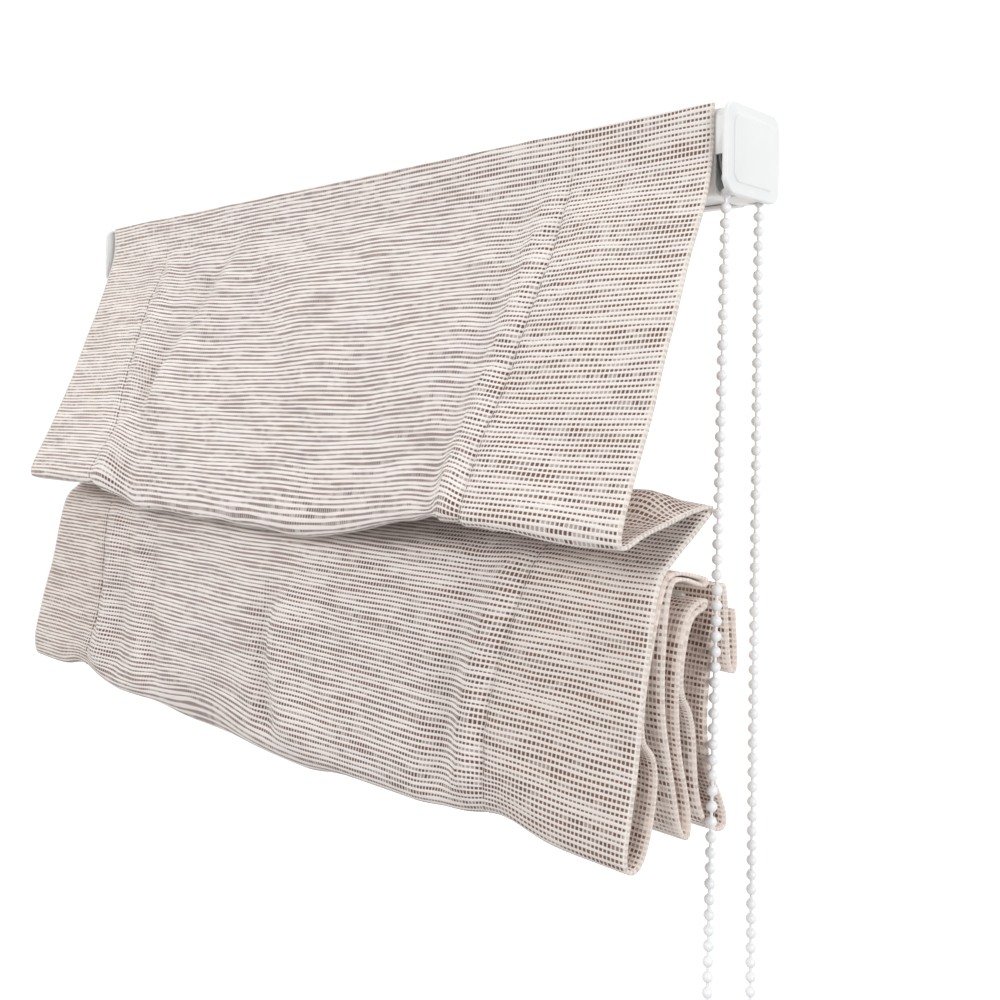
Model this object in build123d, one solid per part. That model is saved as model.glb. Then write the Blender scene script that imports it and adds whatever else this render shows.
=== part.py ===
from build123d import *
from math import atan2, cos, hypot, pi, radians, sin, tan
import os

# Roman blind, partly raised, as it hangs from its two ceiling brackets.
# Frame: +X along the blind to the chain end, +Y back to the window, +Z up.
# The origin is midway between the two bracket holes, on the brackets' top faces.
# All sizes are in millimetres.

# Headrail, an aluminium extrusion that is open below
blind_width = 500.0
rail_depth = 30.0
rail_height = 35.0
rail_wall = 1.3
rail_top = -1.4
clip_channel_depth = 4.2
clip_channel_lip = 4.0
floor_lip = 3.6

# End caps and drive housing
cap_depth = 40.0
cap_forward = 1.4
cap_height = 36.0
cap_corner = 6.0
cap_thickness = 2.4
cap_plate = 1.4
cap_wall = 1.5
cap_edge_round = 0.8
cap_panel_inset = 4.6
cap_panel_rise = 0.6
cap_top = -1.0
housing_depth = 34.6
housing_height = 34.8
housing_flange = 11.7
housing_wall = 1.6
housing_back_wall = 3.6
plug_length = 22.0
plug_clearance = 0.3
plug_round = 1.0
chain_window_drop = 19.7
chain_window_width = 5.6
chain_slot_depth = 8.0

# Bead chain and its wheel
bead_pitch = 6.0
bead_diameter = 4.5
link_diameter = 1.5
bead_flat = 1.0
bead_sides = 6
bead_count = 156
chain_lean = 1.35
strand_inset = 5.8
pocket_count = 13
wheel_width = 6.4
wheel_flange = 0.7
wheel_overhang = 1.1
rib_width = 1.6
rib_gap = 0.3

# Clutch and shaft
post_radius = 4.5
sleeve_bore = 6.2
sleeve_radius = 8.4
sleeve_length = 14.6
spring_wire = 1.1
spring_length = 10.0
spring_gap_angle = 10.0
hub_radius = 9.8
hub_length = 18.0
finger_reach = 6.0
finger_angle = 60.0
lug_angle = 50.0
shaft_side = 6.0
socket_depth = 12.0
running_gap = 0.1
fit_gap = 0.05

# Cord drums and their cradles
drum_offset = 150.0
drum_radius = 6.0
drum_length = 14.0
drum_flange_radius = 9.0
drum_flange = 1.2
journal_radius = 4.6
journal_length = 2.6
cradle_wall = 2.0
cradle_floor = 1.8
cord_diameter = 1.4
turns_length = 7.0
eyelet_radius = 2.2
eyelet_drop = 2.4

# Ceiling brackets
bracket_spacing = 360.0
bracket_width = 24.0
bracket_thickness = 1.2
bracket_hole_radius = 2.5
bracket_hook = 3.0

# Cloth, tapes, rods and rings
cloth_width = 483.0
cloth_thickness = 0.8
tape_width = 25.0
tape_drop = 2.0
tape_inset = 6.0
hook_tape = 1.2
loop_tape = 1.2
rod_length = 455.0
rod_radius = 2.0
pocket_wall = 0.6
pocket_gap = 0.15
pocket_length = 440.0
soft_gap = 0.3
ring_outer = 4.2
ring_inner = 2.4
ring_height = 1.4
tab_width = 10.0
tab_thickness = 0.5
first_rod_drop = 160.4
fold_drop = 128.4
side_hem = 68.5
stop_radius = 3.0
stop_height = 2.6
stop_chamfer = 0.6
bar_thickness = 3.0
bar_width = 20.0
bar_length = 450.0
bar_round = 1.0
bar_lean = 6.5

# Places that follow from the sizes
half_width = blind_width / 2
rail_bottom = rail_top - rail_height
web_bottom = rail_top - rail_wall - clip_channel_depth
axis_z = cap_top - cap_height / 2
wheel_radius = bead_pitch * pocket_count / (2 * pi)
strand_x = half_width - strand_inset
wheel_start = strand_x - wheel_width / 2
sleeve_start = wheel_start - sleeve_length
hub_start = sleeve_start - soft_gap - hub_length
cap_inner_x = half_width - cap_thickness
housing_x = cap_inner_x - housing_flange
rail_front = -rail_depth / 2
tape_front = rail_front - hook_tape - loop_tape
cloth_y = tape_front - cloth_thickness / 2
cord_y = -(drum_radius + cord_diameter / 2)
cloth_top = rail_top + 1.0
on_base = (Align.CENTER, Align.CENTER, Align.MIN)


def at_x(x):
    """Plane across the blind, whose own axes are the blind's Y and Z."""
    return Plane(origin=(x, 0, 0), x_dir=(0, 1, 0), z_dir=(1, 0, 0))


def along_x(sketch, start, length):
    """Solid with the sketch's Y and Z outline, from start towards +X."""
    return extrude(at_x(start) * sketch, amount=length)


def disc(radius, start, length, y=0.0, z=None):
    """Round bar along X, on the shaft's line unless it is told otherwise."""
    centre = Pos(y, axis_z if z is None else z)
    return along_x(centre * Circle(radius), start, length)


def square_bar(side, start, length):
    return along_x(Pos(0, axis_z) * Rectangle(side, side), start, length)


def sector(inner, outer, middle_angle, spread, start, length):
    """Part of a ring round the shaft's line, as seen from the chain end."""
    first = radians(middle_angle - spread / 2)
    last = radians(middle_angle + spread / 2)
    middle = radians(middle_angle)

    def point(radius, angle):
        return (radius * cos(angle), axis_z + radius * sin(angle))

    outline = [
        ThreePointArc(point(outer, first), point(outer, middle), point(outer, last)),
        Line(point(outer, last), point(inner, last)),
        ThreePointArc(point(inner, last), point(inner, middle), point(inner, first)),
        Line(point(inner, first), point(outer, first)),
    ]
    return along_x(make_face(Curve() + outline), start, length)


def soft_path(points):
    """Runs through the points, with each corner as round as its two runs allow."""
    if len(points) == 2:
        return Polyline(*points)
    radii = []
    for before, corner, after in zip(points, points[1:], points[2:]):
        run_in = (corner[0] - before[0], corner[1] - before[1])
        run_out = (after[0] - corner[0], after[1] - corner[1])
        cross = run_in[0] * run_out[1] - run_in[1] * run_out[0]
        along = run_in[0] * run_out[0] + run_in[1] * run_out[1]
        turn = abs(atan2(cross, along))
        shorter = min(hypot(*run_in), hypot(*run_out))
        radii.append(0.45 * shorter / tan(turn / 2))
    return FilletPolyline(*points, radius=radii)


def sheet_outline(points, thickness):
    outline = offset(soft_path(points), amount=thickness / 2, side=Side.BOTH, closed=True)
    return make_face(outline.edges())


def sheet(points, width, thickness, start):
    """Sheet of one thickness that follows the points and is straight along X."""
    return along_x(sheet_outline(points, thickness), start, width)


def slack_sheet(route, columns, thickness):
    """Sheet whose route moves from column to column with its share of the slack."""
    sections = []
    for x, slack in columns:
        points = [hung(y + slack * forward, z + slack * down) for y, z, forward, down in route]
        sections.append(at_x(x) * sheet_outline(points, thickness))
    return loft(sections, ruled=True)


# Drops of the first rod and of the folds below it at which the routes are drawn
drawn_rod_drop = 160.4
drawn_fold_drop = 128.4


def hung(y, z):
    """Place on the cloth's route, at the drops that are wanted."""
    if z > -drawn_rod_drop:
        return (y, z * first_rod_drop / drawn_rod_drop)
    return (y, -first_rod_drop + (z + drawn_rod_drop) * fold_drop / drawn_fold_drop)


# Cloth route from the tape on the rail down to the first rod, as y and z at the side
# edge, and how far the slack middle of the cloth hangs from that
upper_route = [
    (cloth_y, cloth_top, 0.0, 0.0),
    (cloth_y, -23.0, 0.0, 0.0),
    (-26.0, -43.0, 1.0, 0.0),
    (-42.0, -84.0, 3.0, -2.0),
    (-57.0, -124.0, 6.0, -5.0),
    (-72.0, -157.0, 11.0, -8.0),
    (-76.0, -167.0, 12.5, -13.0),
    (-71.5, -170.2, 11.0, -15.5),
    (-60.0, -168.3, 6.5, -13.0),
    (-40.0, -163.0, 3.0, -7.0),
    (-19.0, -158.6, 0.0, 0.0),
]

# Then three hanging folds behind each other and the hem at the back
stack_route = [
    (-18.4, -160.8),
    (-44.5, -178.6),
    (-52.0, -186.0),
    (-60.0, -221.0),
    (-65.0, -250.0),
    (-70.6, -281.5),
    (-68.8, -288.2),
    (-60.6, -288.0),
    (-55.8, -265.0),
    (-57.2, -246.0),
    (-51.0, -215.0),
    (-47.4, -186.0),
    (-43.0, -180.6),
    (-20.0, -186.6),
    (-18.4, -188.4),
    (-20.2, -190.2),
    (-36.0, -189.6),
    (-41.6, -194.0),
    (-43.0, -229.0),
    (-47.0, -258.0),
    (-46.0, -280.0),
    (-36.0, -284.6),
    (-34.0, -273.0),
    (-38.0, -250.0),
    (-36.4, -215.0),
    (-32.6, -198.4),
    (-20.0, -194.8),
    (-18.4, -196.6),
    (-20.0, -198.6),
    (-26.0, -202.0),
    (-29.0, -218.0),
    (-28.4, -250.0),
    (-27.0, -274.0),
    (-19.0, -283.0),
    (-8.0, -288.8),
    (-2.6, -287.0),
    (-5.6, -278.0),
    (-15.0, -264.0),
    (-19.4, -246.0),
    (-17.0, -222.0),
    (-9.8, -204.0),
    (-9.8, -192.6),
    (-7.4, -190.0),
    (-5.2, -192.6),
    (-4.0, -204.0),
    (-1.6, -225.0),
    (1.6, -227.6),
    (3.6, -224.4),
    (1.4, -201.5),
]

stack_route = [hung(*place) for place in stack_route]

# Columns across the cloth, and how much of the middle's slack each has
slack_columns = [
    (-cloth_width / 2, 0.0),
    (-cloth_width / 2 + side_hem, 0.0),
    (-cloth_width / 2 + 1.65 * side_hem, 1.0),
    (cloth_width / 2 - 3.0 * side_hem, 1.0),
    (cloth_width / 2 - 2.15 * side_hem, 0.5),
    (cloth_width / 2 - 1.35 * side_hem, 0.0),
    (cloth_width / 2, 0.0),
]

# Places of the rods and of the rings that hang on each lift cord
rods = [(-14.9, -160.4), (-14.9, -189.6), (-14.9, -197.0), (-0.6, -196.2)]
rods = [hung(*place) for place in rods]
ring_drop = 19.2
ring_step = 2.6
ring_heights = [rods[0][1]] + [rods[0][1] - ring_drop - step * ring_step for step in range(3)]
cord_places = [-drum_offset, drum_offset]


def headrail():
    """Extrusion with a clip channel on top and a slot along its underside."""
    half = rail_depth / 2
    inner = half - rail_wall
    outline = Pos(0, rail_top - rail_height / 2) * Rectangle(rail_depth, rail_height)
    channel_height = clip_channel_depth
    channel_z = rail_top - rail_wall - channel_height / 2
    outline -= Pos(0, channel_z) * Rectangle(2 * inner, channel_height)
    mouth = 2 * (inner - clip_channel_lip)
    outline -= Pos(0, rail_top - rail_wall / 2) * Rectangle(mouth, rail_wall)
    room_top = web_bottom - rail_wall
    room_bottom = rail_bottom + rail_wall
    room_z = (room_top + room_bottom) / 2
    outline -= Pos(0, room_z) * Rectangle(2 * inner, room_top - room_bottom)
    slot = 2 * (inner - floor_lip)
    outline -= Pos(0, rail_bottom + rail_wall / 2) * Rectangle(slot, rail_wall)
    start = -half_width + cap_thickness
    return along_x(outline, start, housing_x - start)


def rounded(depth, height, corner, forward=0.0):
    return Pos(-forward, axis_z) * RectangleRounded(depth, height, corner)


def cap_shell():
    """Right-hand cap: a dished plate with rounded edges and a raised panel."""
    outline = rounded(cap_depth, cap_height, cap_corner, cap_forward)
    shell = along_x(outline, cap_inner_x, cap_thickness)
    outer_edges = shell.faces().sort_by(Axis.X)[-1].edges()
    shell = fillet(outer_edges, cap_edge_round)
    walls = 2 * cap_wall
    room = rounded(cap_depth - walls, cap_height - walls, cap_corner - cap_wall, cap_forward)
    shell -= along_x(room, cap_inner_x, cap_thickness - cap_plate)
    inset = 2 * cap_panel_inset
    panel = rounded(cap_depth - inset, cap_height - inset, cap_corner - 2.0, cap_forward)
    panel = along_x(panel, half_width, cap_panel_rise)
    panel = chamfer(panel.faces().sort_by(Axis.X)[-1].edges(), cap_panel_rise * 0.7)
    return shell + panel


def right_end_cap():
    """Cap with the fixed post that the chain wheel and the clutch spring sit on."""
    start = sleeve_start + soft_gap
    return cap_shell() + disc(post_radius, start, half_width - cap_plate - start)


def left_end_cap():
    """The same plate on the plain end, with a plug and the shaft's bearing."""
    cap = mirror(cap_shell(), about=Plane.YZ)
    plate_x = -half_width + cap_plate
    cap += plug(plate_x, cap_thickness - cap_plate + plug_length)
    return cap - disc(journal_radius + running_gap, plate_x, cap_thickness + plug_length)


def plug(start, length):
    """Block that fills the rail's room, with rounded long edges."""
    depth = rail_depth - 2 * (rail_wall + plug_clearance)
    top = web_bottom - rail_wall - plug_clearance
    bottom = rail_bottom + rail_wall + plug_clearance
    section = Pos(0, (top + bottom) / 2) * RectangleRounded(depth, top - bottom, plug_round)
    return along_x(section, start, length)


def drive_housing():
    """Open housing round the chain wheel, with the plug that holds the clutch."""
    depth = housing_depth
    height = housing_height
    corner = cap_corner - 1.0
    body = along_x(rounded(depth, height, corner), housing_x, housing_flange)
    room = rounded(depth - 2 * housing_wall, height - 2 * housing_wall, corner - housing_wall)
    room_x = housing_x + housing_back_wall
    room_length = housing_flange - housing_back_wall
    body -= along_x(room, room_x, room_length)
    body += plug(housing_x - plug_length, plug_length)
    bore = hub_radius + running_gap
    body -= disc(bore, housing_x - plug_length, plug_length + housing_back_wall)
    window_top = cap_top - chain_window_drop
    window_bottom = cap_top - cap_height - 1
    window_z = (window_top + window_bottom) / 2
    window = Rectangle(chain_slot_depth, window_top - window_bottom)
    window = Pos(-depth / 2 - chain_slot_depth / 2 + housing_wall, window_z) * window
    window_x = strand_x - chain_window_width / 2
    window_reach = cap_inner_x - window_x
    body -= along_x(window, window_x, window_reach)
    slot_top = axis_z - height / 2 + corner
    for side in (-1, 1):
        slot = Rectangle(chain_slot_depth, slot_top - window_bottom)
        slot = Pos(side * wheel_radius, (slot_top + window_bottom) / 2) * slot
        body -= along_x(slot, window_x, window_reach)
    return body


def chain_wheel():
    """Pocket wheel: two flanges, a root drum, ribs between the pockets, a sleeve."""
    start = wheel_start
    root = wheel_radius - bead_diameter / 2 - rib_gap
    rim = wheel_radius + wheel_overhang
    facets = 2 * pocket_count
    wheel = along_x(Pos(0, axis_z) * RegularPolygon(root, facets), start, wheel_width)
    for x in (start, start + wheel_width - wheel_flange):
        wheel += along_x(Pos(0, axis_z) * RegularPolygon(rim, facets), x, wheel_flange)
    rib_top = wheel_radius * cos(pi / pocket_count) - link_diameter / 2 - rib_gap
    rib = Pos((root + rib_top) / 2 - 0.5, 0) * Rectangle(rib_top - root + 1.0, rib_width)
    for pocket in range(pocket_count):
        angle = 90 + 360 / pocket_count * (pocket + 0.5)
        wheel += along_x(Pos(0, axis_z) * Rot(0, 0, angle) * rib, start, wheel_width)
    wheel += disc(sleeve_radius, sleeve_start, sleeve_length)
    wheel += sector(sleeve_radius - 0.5, hub_radius, 90, lug_angle, sleeve_start, finger_reach)
    wheel -= disc(sleeve_bore, sleeve_start, sleeve_length + wheel_flange)
    wheel -= disc(post_radius + running_gap, start, wheel_width)
    return wheel


def clutch_spring():
    """Wrap spring on the post, as a split sleeve with its turns closed up."""
    inner = post_radius + fit_gap
    start = wheel_start - soft_gap - spring_length
    turn = 360 - spring_gap_angle
    return sector(inner, inner + spring_wire, 0, turn, start, spring_length)


def drive_hub():
    """Output hub in the plug's bore, with a finger beside the wheel's lug."""
    end = hub_start + hub_length
    hub = disc(hub_radius, hub_start, hub_length)
    middle = 90 + (lug_angle + finger_angle) / 2
    inner = sleeve_radius + running_gap
    hub += sector(inner, hub_radius, middle, finger_angle, end - 1.0, finger_reach + 1.0)
    hub -= square_bar(shaft_side + 2 * fit_gap, hub_start, socket_depth)
    return hub


def shaft():
    start = -half_width + cap_thickness + 2.0
    return square_bar(shaft_side, start, hub_start + socket_depth - soft_gap - start)


def end_bush():
    """Round bush on the plain end of the shaft, turning in the left cap."""
    start = -half_width + cap_thickness + 2.0
    bush = disc(journal_radius, start, plug_length)
    bush += disc(journal_radius + 2.0, start + plug_length - 2.0 + soft_gap, 1.5)
    return bush - square_bar(shaft_side + 2 * fit_gap, start, plug_length + 2.0)


def cord_drum(x):
    """Drum with two flanges and two journals, sliding on the square shaft."""
    half = drum_length / 2
    drum = disc(drum_radius, x - half, drum_length)
    for start in (x - half - drum_flange, x + half):
        drum += disc(drum_flange_radius, start, drum_flange)
    reach = half + drum_flange + journal_length
    drum += disc(journal_radius, x - reach, 2 * reach)
    return drum - square_bar(shaft_side + 2 * fit_gap, x - reach, 2 * reach)


def cord_turns(x):
    """Outer shape of the cord that is wound on a drum."""
    start = x - drum_length / 2 + 0.6
    turns = disc(drum_radius + cord_diameter, start, turns_length)
    return turns - disc(drum_radius, start, turns_length)


def cord_x(x):
    """Where the cord leaves the drum, beside the wound turns."""
    return x - drum_length / 2 + 0.6 + turns_length + cord_diameter


def drum_cradle(x):
    """Cradle clipped into the rail's slot, with the eyelet that the cord leaves by."""
    half = drum_length / 2 + drum_flange + soft_gap
    inner_depth = rail_depth - 2 * (rail_wall + plug_clearance)
    floor_z = rail_bottom + rail_wall
    top = axis_z + journal_radius + 3.0
    wall = Pos(0, (floor_z + top) / 2) * Rectangle(inner_depth, top - floor_z)
    cradle = along_x(wall, x - half - cradle_wall, cradle_wall)
    cradle += along_x(wall, x + half, cradle_wall)
    base = Pos(0, floor_z + cradle_floor / 2) * Rectangle(inner_depth, cradle_floor)
    length = 2 * (half + cradle_wall)
    cradle += along_x(base, x - length / 2, length)
    key_depth = rail_depth - 2 * (rail_wall + floor_lip + plug_clearance)
    key = Pos(0, floor_z - rail_wall / 2) * Rectangle(key_depth, rail_wall)
    cradle += along_x(key, x - length / 2, length)
    cradle -= disc(journal_radius + running_gap, x - length, 2 * length)
    eyelet_z = rail_bottom - eyelet_drop
    foot = Pos(cord_x(x), cord_y, eyelet_z)
    cradle += foot * Cylinder(eyelet_radius, eyelet_drop, align=on_base)
    hole_height = eyelet_drop + rail_wall + cradle_floor
    hole_radius = cord_diameter / 2 + soft_gap
    return cradle - foot * Cylinder(hole_radius, hole_height, align=on_base)


def bracket(x):
    """Steel clip bracket: a plate on the ceiling with a hook at each side."""
    inner = rail_depth / 2 - rail_wall - clip_channel_lip - soft_gap
    plate = Pos(0, -bracket_thickness / 2) * Rectangle(2 * inner, bracket_thickness)
    hook_z = rail_top - rail_wall
    drop = -hook_z + bracket_thickness
    for side in (-1, 1):
        leg_y = side * (inner - bracket_thickness / 2)
        plate += Pos(leg_y, -drop / 2) * Rectangle(bracket_thickness, drop)
        toe_y = side * (inner + bracket_hook / 2 - bracket_thickness / 2)
        toe = Rectangle(bracket_hook + bracket_thickness, bracket_thickness)
        plate += Pos(toe_y, hook_z - bracket_thickness / 2) * toe
    clip = along_x(plate, x - bracket_width / 2, bracket_width)
    hole = Cylinder(bracket_hole_radius, 4 * bracket_thickness)
    return clip - Pos(x, 0, 0) * hole


def front_tape(front, thickness):
    section = Pos(front + thickness / 2, rail_top - tape_drop - tape_width / 2)
    start = -cloth_width / 2 + tape_inset
    end = housing_x - soft_gap
    return along_x(section * Rectangle(thickness, tape_width), start, end - start)


def rod(place):
    return disc(rod_radius, -rod_length / 2, rod_length, *place)


def rod_pocket(place, tab_route):
    """Woven tape round a rod, with one tab to the ring on each lift cord."""
    inner = rod_radius + pocket_gap
    outer = inner + pocket_wall
    pocket = disc(outer, -pocket_length / 2, pocket_length, *place)
    for x in cord_places:
        pocket += sheet(tab_route, tab_width, tab_thickness, cord_x(x) - tab_width / 2)
    return pocket - disc(inner, -pocket_length / 2, pocket_length, *place)


ring_front = cord_y - ring_outer - soft_gap
ring_back = cord_y + ring_outer + soft_gap
pocket_radius = rod_radius + pocket_gap + pocket_wall
tab_routes = [
    [
        (rods[0][0] + pocket_radius - 0.4, rods[0][1]),
        (ring_front, ring_heights[0]),
    ],
    [
        (rods[1][0] + 0.4, rods[1][1] + pocket_radius - 0.4),
        (ring_front - 2.8, ring_heights[1] - 2.4),
        (ring_front - 1.6, ring_heights[1] - 0.6),
        (ring_front, ring_heights[1]),
    ],
    [
        (rods[2][0] + pocket_radius - 0.5, rods[2][1] + 0.6),
        (ring_front - 0.3, rods[2][1] + 4.0),
        (ring_front - 0.3, ring_heights[2] - 2.8),
        (ring_front, ring_heights[2]),
    ],
    [
        (rods[3][0] - 0.6, rods[3][1] + pocket_radius - 0.4),
        (rods[3][0] - 1.0, ring_heights[3] - 2.2),
        (ring_back, ring_heights[3]),
    ],
]


def cord_rings(height):
    """The rings of one rod, one round each lift cord."""
    pair = []
    for x in cord_places:
        centre = Pos(cord_x(x), cord_y, height)
        pair.append(centre * (Cylinder(ring_outer, ring_height) - Cylinder(ring_inner, ring_height)))
    return pair


def cord_stop(x):
    """Stop on the end of a lift cord, under the last ring."""
    bottom = ring_heights[-1] - ring_height / 2 - stop_height
    stop = Cylinder(stop_radius, stop_height, align=on_base)
    stop = Pos(cord_x(x), cord_y, bottom) * stop
    return chamfer(stop.edges().filter_by(GeomType.CIRCLE), stop_chamfer)


def lift_cord(x):
    """Straight cord from the front of its drum, through the rings, to its stop."""
    bottom = ring_heights[-1] - ring_height / 2
    height = axis_z - bottom
    cord = Cylinder(cord_diameter / 2, height, align=on_base)
    return Pos(cord_x(x), cord_y - fit_gap, bottom) * cord


def bottom_bar():
    """Flat weight bar in the hem, leaning as the hem does."""
    section = RectangleRounded(bar_thickness, bar_width, bar_round)
    section = Pos(*hung(-0.5, -213.4)) * Rot(0, 0, bar_lean) * section
    return along_x(section, -bar_length / 2, bar_length)


def chain_line():
    """Loop over the wheel: a function from the distance along it to place and heading."""
    lean = radians(chain_lean)
    leave = (wheel_radius * cos(pi - lean), axis_z + wheel_radius * sin(pi - lean))

    def bottom_for(low):
        reach = (wheel_radius - leave[0]) * cos(lean) + (leave[1] - low) * sin(lean)
        bend = reach / (1 + cos(lean))
        centre = (wheel_radius - bend, low)
        front = (centre[0] - leave[0]) * -sin(lean) + (centre[1] - leave[1]) * -cos(lean)
        back = axis_z - low
        return bend, front, back, wheel_radius * (pi - lean) + front + bend * (pi + lean) + back

    wanted = bead_count * bead_pitch
    high, deep = -wanted / 4, -wanted / 2
    short, long = bottom_for(high)[3], bottom_for(deep)[3]
    low = high + (deep - high) * (wanted - short) / (long - short)
    bend, front, back, _ = bottom_for(low)
    over_front = wheel_radius * (pi / 2 - lean)
    under = bend * (pi + lean)

    def at(distance):
        s = distance % wanted
        if s < over_front:
            angle = pi / 2 + s / wheel_radius
            place = (wheel_radius * cos(angle), axis_z + wheel_radius * sin(angle))
            return place, angle + pi / 2, "wheel"
        s -= over_front
        if s < front:
            place = (leave[0] - s * sin(lean), leave[1] - s * cos(lean))
            return place, 3 * pi / 2 - lean, "front"
        s -= front
        if s < under:
            angle = pi - lean + s / bend
            place = (wheel_radius - bend + bend * cos(angle), low + bend * sin(angle))
            return place, angle + pi / 2, "under"
        s -= under
        if s < back:
            return (wheel_radius, low + s), pi / 2, "back"
        s -= back
        angle = s / wheel_radius
        place = (wheel_radius * cos(angle), axis_z + wheel_radius * sin(angle))
        return place, angle + pi / 2, "wheel"

    return at


def bead_chain():
    """Endless chain of moulded beads, each a short faceted barrel on a thin link."""
    at = chain_line()
    half = bead_diameter / 2
    profile = [
        (-half, link_diameter / 2),
        (-bead_flat, half),
        (bead_flat, half),
        (half, link_diameter / 2),
    ]
    rings = []
    for bead in range(bead_count):
        for step, radius in profile:
            (y, z), heading, part = at(bead * bead_pitch + step)
            ring = []
            for corner in range(bead_sides):
                angle = 2 * pi * corner / bead_sides
                side = radius * sin(angle)
                place = (
                    strand_x + radius * cos(angle),
                    y - side * sin(heading),
                    z + side * cos(heading),
                )
                ring.append(Vector(*place))
            rings.append((ring, part))
    faces = []
    for index, (ring, part) in enumerate(rings):
        following, next_part = rings[(index + 1) % len(rings)]
        straight = part == next_part and part in ("front", "back")
        for corner in range(bead_sides):
            after = (corner + 1) % bead_sides
            quad = [ring[corner], ring[after], following[after], following[corner]]
            patches = [quad] if straight else [quad[:3], [quad[0], quad[2], quad[3]]]
            for patch in patches:
                faces.append(Face(Wire.make_polygon(patch, close=True)))
    return Solid(Shell(faces))


def pieces():
    """Every node's name with its solid or its group of solids."""
    left, right = cord_places
    yield "headrail", headrail()
    yield "right_end_cap", right_end_cap()
    yield "left_end_cap", left_end_cap()
    yield "drive_housing", drive_housing()
    yield "chain_wheel", chain_wheel()
    yield "clutch_spring", clutch_spring()
    yield "drive_hub", drive_hub()
    yield "shaft", shaft()
    yield "end_bush", end_bush()
    for name, x in (("left", left), ("right", right)):
        yield name + "_cord_drum", cord_drum(x)
        yield name + "_cord_turns", cord_turns(x)
        yield name + "_drum_cradle", drum_cradle(x)
        yield name + "_lift_cord", lift_cord(x)
        yield name + "_cord_stop", cord_stop(x)
    yield "left_bracket", bracket(-bracket_spacing / 2)
    yield "right_bracket", bracket(bracket_spacing / 2)
    yield "hook_tape", front_tape(rail_front - hook_tape, hook_tape)
    yield "loop_tape", front_tape(tape_front, loop_tape)
    yield "upper_cloth", slack_sheet(upper_route, slack_columns, cloth_thickness)
    yield "folded_cloth", sheet(stack_route, cloth_width, cloth_thickness, -cloth_width / 2)
    for number, place in enumerate(rods, start=1):
        yield f"rod_{number}", rod(place)
        yield f"rod_pocket_{number}", rod_pocket(place, tab_routes[number - 1])
        yield f"cord_rings_{number}", cord_rings(ring_heights[number - 1])
    yield "bottom_bar", bottom_bar()
    yield "bead_chain", bead_chain()


os.makedirs("parts", exist_ok=True)
for name, shape in pieces():
    if isinstance(shape, list):
        shape = Compound(children=shape)
    export_step(shape, f"parts/{name}.step")
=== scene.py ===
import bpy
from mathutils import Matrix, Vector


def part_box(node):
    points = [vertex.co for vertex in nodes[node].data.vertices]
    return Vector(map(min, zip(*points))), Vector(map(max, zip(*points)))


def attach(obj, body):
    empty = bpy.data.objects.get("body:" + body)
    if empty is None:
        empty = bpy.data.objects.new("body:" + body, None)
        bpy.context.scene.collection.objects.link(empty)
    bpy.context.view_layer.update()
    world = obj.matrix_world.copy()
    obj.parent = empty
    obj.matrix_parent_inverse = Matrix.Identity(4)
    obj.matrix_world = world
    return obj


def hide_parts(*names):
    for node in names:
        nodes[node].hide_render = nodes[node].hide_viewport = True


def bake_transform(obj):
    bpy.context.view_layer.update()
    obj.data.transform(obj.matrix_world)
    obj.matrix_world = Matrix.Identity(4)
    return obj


bl_info = {
    "name": "Roman Blind",
    "version": (1, 0, 0),
    "blender": (4, 5, 0),
    "location": "View3D > Sidebar > Roman Blind",
    "description": "Dresses the packed roman blind with cloth, bead chain, mouldings and a stage",
    "category": "Object",
}

from math import ceil, cos, exp, hypot, pi, radians, sin

import bmesh
import bpy
import numpy as np
from mathutils import Euler, Matrix, Vector, noise

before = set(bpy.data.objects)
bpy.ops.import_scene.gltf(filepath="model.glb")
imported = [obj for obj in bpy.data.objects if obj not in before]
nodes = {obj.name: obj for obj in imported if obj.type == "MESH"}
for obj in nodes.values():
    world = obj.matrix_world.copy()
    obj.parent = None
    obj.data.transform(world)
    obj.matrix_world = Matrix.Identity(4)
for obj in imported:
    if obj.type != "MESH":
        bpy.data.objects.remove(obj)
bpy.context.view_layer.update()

MM = 0.001
RAIL, FOLDS = "headrail_body", "fold_body"

# Places along the unfolded cloth, in mm: the first pleat's bottom, the fold above the second
# pleat, and the second pleat's bottom
FIRST_BOTTOM = 176.0
SECOND_TOP = 238.0
SECOND_BOTTOM = 386.0

# Side seams: distance from the middle of the width in mm, and the stitches in metres
SEAM = 173.0
STITCH_SPACING = 0.0046
STITCH_LENGTH = 0.0021
STITCH_THREAD = 0.0006


class Value:
    """A node socket that sums can be written with."""

    def __init__(self, finish, link):
        self.finish = finish
        self.link = link

    def sum(self, operation, *others):
        """This value and the others through one operation."""
        values = {index: other for index, other in enumerate((self, *others))}
        return self.finish.node("ShaderNodeMath", {"operation": operation}, values)

    def reversed_sum(self, operation, other):
        """The same with this value last."""
        return self.finish.node("ShaderNodeMath", {"operation": operation}, {0: other, 1: self})

    def __add__(self, other):
        return self.sum("ADD", other)

    __radd__ = __add__

    def __sub__(self, other):
        return self.sum("SUBTRACT", other)

    def __rsub__(self, other):
        return self.reversed_sum("SUBTRACT", other)

    def __mul__(self, other):
        return self.sum("MULTIPLY", other)

    __rmul__ = __mul__

    def __truediv__(self, other):
        return self.sum("DIVIDE", other)

    def fraction(self):
        return self.sum("FRACT")

    def floor(self):
        return self.sum("FLOOR")

    def size(self):
        return self.sum("ABSOLUTE")

    def ramp(self, low, high):
        """Goes smoothly from 0 at low to 1 at high."""
        settings = {"interpolation_type": "SMOOTHSTEP"}
        values = {"Value": self, "From Min": low, "From Max": high}
        return self.finish.node("ShaderNodeMapRange", settings, values)


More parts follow.
